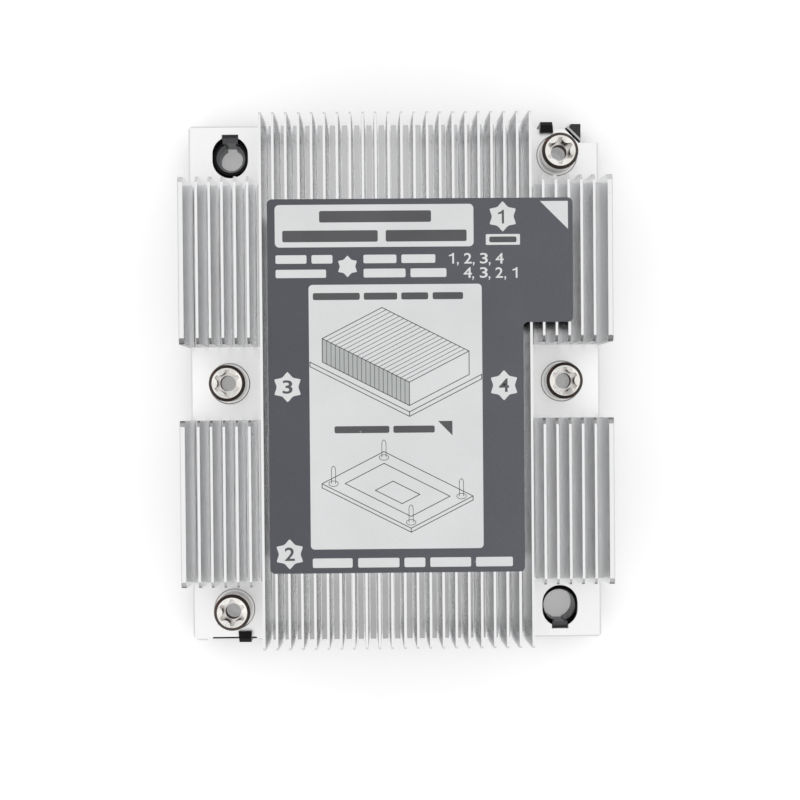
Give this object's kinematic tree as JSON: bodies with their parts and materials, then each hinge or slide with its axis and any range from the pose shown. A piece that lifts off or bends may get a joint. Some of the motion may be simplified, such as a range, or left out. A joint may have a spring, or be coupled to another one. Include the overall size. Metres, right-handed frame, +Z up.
{
  "type": "passive server cpu heatsink",
  "caption": "Low passive processor heatsink: straight extruded fins with milled corner and side pockets, captive six-lobe nuts, and a black moulded carrier clipped under the plate.",
  "frame": {"origin": "centre of the bounding box on the plane it rests on", "axes": "+Y along the fins towards the end with the carrier's corner key, +X across the fins, +Z up through the fin tops"},
  "size_m": [0.0874, 0.1094, 0.0297],
  "materials": {
    "extruded_aluminium": "fine satin",
    "black_moulding": "fine matte",
    "thermal_compound": "dull, smooth",
    "printed_film": "semi-matte film",
    "plated_steel": "bright nickel plate",
    "spring_steel": "oiled"
  },
  "bodies": {
    "root": {"heatsink_body": "extruded_aluminium", "processor_carrier": "black_moulding", "thermal_pad": "thermal_compound", "instruction_label": "printed_film"},
    "ring_1": {"retaining_ring_1": "spring_steel"},
    "nut_1": {"nut_1": "plated_steel"},
    "ring_2": {"retaining_ring_2": "spring_steel"},
    "nut_2": {"nut_2": "plated_steel"},
    "ring_3": {"retaining_ring_3": "spring_steel"},
    "nut_3": {"nut_3": "plated_steel"},
    "ring_4": {"retaining_ring_4": "spring_steel"},
    "nut_4": {"nut_4": "plated_steel"}
  },
  "joints": [
    {"name": "nut_1_lift", "type": "slide", "parent": "root", "child": "ring_1", "axis": [0, 0, 1], "range_m": [0, 0.0014]},
    {"name": "nut_1_spin", "type": "hinge", "parent": "ring_1", "child": "nut_1", "pos_m": [0.0345, 0.0477, 0.0012], "axis": [0, 0, 1], "continuous": true},
    {"name": "nut_2_lift", "type": "slide", "parent": "root", "child": "ring_2", "axis": [0, 0, 1], "range_m": [0, 0.0014]},
    {"name": "nut_2_spin", "type": "hinge", "parent": "ring_2", "child": "nut_2", "pos_m": [-0.0345, -0.0477, 0.0012], "axis": [0, 0, 1], "continuous": true},
    {"name": "nut_3_lift", "type": "slide", "parent": "root", "child": "ring_3", "axis": [0, 0, 1], "range_m": [0, 0.0014]},
    {"name": "nut_3_spin", "type": "hinge", "parent": "ring_3", "child": "nut_3", "pos_m": [-0.0351, 0, 0.0012], "axis": [0, 0, 1], "continuous": true},
    {"name": "nut_4_lift", "type": "slide", "parent": "root", "child": "ring_4", "axis": [0, 0, 1], "range_m": [0, 0.0014]},
    {"name": "nut_4_spin", "type": "hinge", "parent": "ring_4", "child": "nut_4", "pos_m": [0.0351, 0, 0.0012], "axis": [0, 0, 1], "continuous": true}
  ]
}
